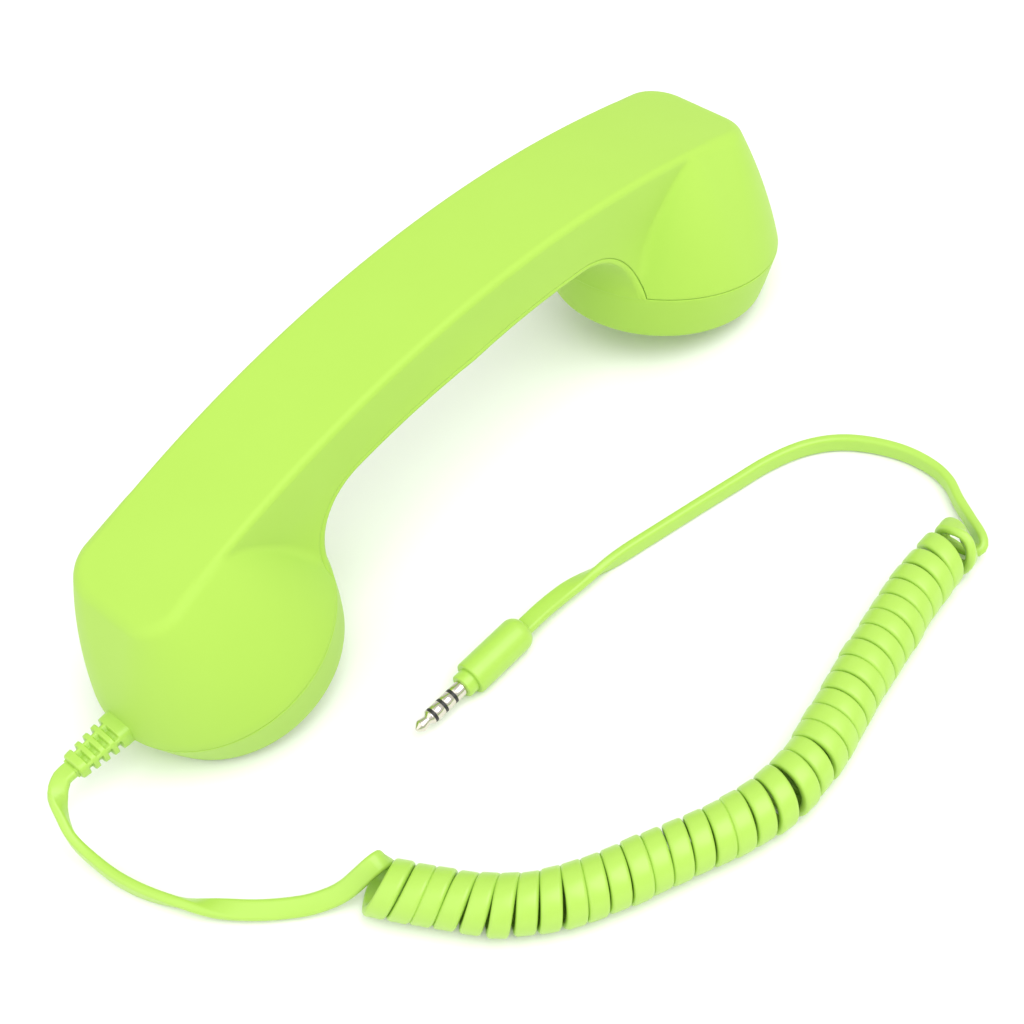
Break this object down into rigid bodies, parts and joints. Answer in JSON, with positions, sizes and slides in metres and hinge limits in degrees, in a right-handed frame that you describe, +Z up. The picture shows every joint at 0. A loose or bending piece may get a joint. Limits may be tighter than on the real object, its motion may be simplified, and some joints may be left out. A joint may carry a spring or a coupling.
{
  "type": "corded telephone handset",
  "caption": "Retro telephone handset with ear and mouth cups, a call button inside the grip, a curly cord and a four-pole 3.5 mm plug.",
  "frame": {"origin": "on the rest surface, under the middle of the handset without its cord", "axes": "+X along the grip from the mouth cup to the ear cup, +Z up towards the grip, +Y across"},
  "size_m": [0.2305, 0.1531, 0.062],
  "materials": {
    "soft_lime": "moulded ABS with a soft-touch matt coat",
    "button_lime": "moulded ABS, satin",
    "cord_lime": "glossy flexible PVC or TPE",
    "acoustic_cloth": "black woven acoustic cloth",
    "foam": "closed-cell foam",
    "pressed_steel": "zinc-plated pressed steel",
    "paper_cone": "treated paper cone",
    "copper_wire": "enamelled copper wire",
    "magnet": "plated magnet pot",
    "boot_rubber": "black moulded rubber",
    "capsule_can": "drawn aluminium can",
    "board": "glass-epoxy board with green mask",
    "switch_black": "black moulded nylon",
    "plunger_white": "natural nylon",
    "ballast_steel": "plain rolled steel bar",
    "screw_steel": "zinc-plated self-tapping screws",
    "wire_red": "PVC-insulated wire",
    "wire_white": "PVC-insulated wire",
    "plug_nickel": "turned brass, nickel plated",
    "insulator_black": "black moulded insulator"
  },
  "bodies": {
    "handset": {"outer_shell": "soft_lime", "inner_shell": "soft_lime", "ear_cap": "soft_lime", "mouth_cap": "soft_lime", "ear_cloth": "acoustic_cloth", "mouth_cloth": "acoustic_cloth", "speaker_gasket": "foam", "speaker_basket": "pressed_steel", "speaker_diaphragm": "paper_cone", "voice_coil": "copper_wire", "speaker_magnet": "magnet", "mic_boot": "boot_rubber", "mic_capsule": "capsule_can", "button_board": "board", "board_screws": "screw_steel", "tact_switch": "switch_black", "ballast_bars": "ballast_steel", "ballast_screws": "screw_steel", "shell_screws": "screw_steel", "cord_clamp": "switch_black", "clamp_screws": "screw_steel", "speaker_leads": "wire_red", "mic_leads": "wire_white", "cord_inner_end": "cord_lime", "strain_relief": "cord_lime", "lead_cord": "cord_lime", "curly_cord": "cord_lime", "tail_cord": "cord_lime", "plug_mould": "cord_lime", "plug_collar": "cord_lime", "plug_sleeve": "plug_nickel", "plug_ring_mic": "plug_nickel", "plug_ring_ear": "plug_nickel", "plug_tip": "plug_nickel", "plug_insulators": "insulator_black"},
    "button": {"call_button": "button_lime", "switch_plunger": "plunger_white"}
  },
  "joints": [
    {"name": "button_press", "type": "slide", "parent": "handset", "child": "button", "axis": [0, 0, 1], "range_m": [0, 0.0005], "stiffness_N_per_m": 3000}
  ]
}
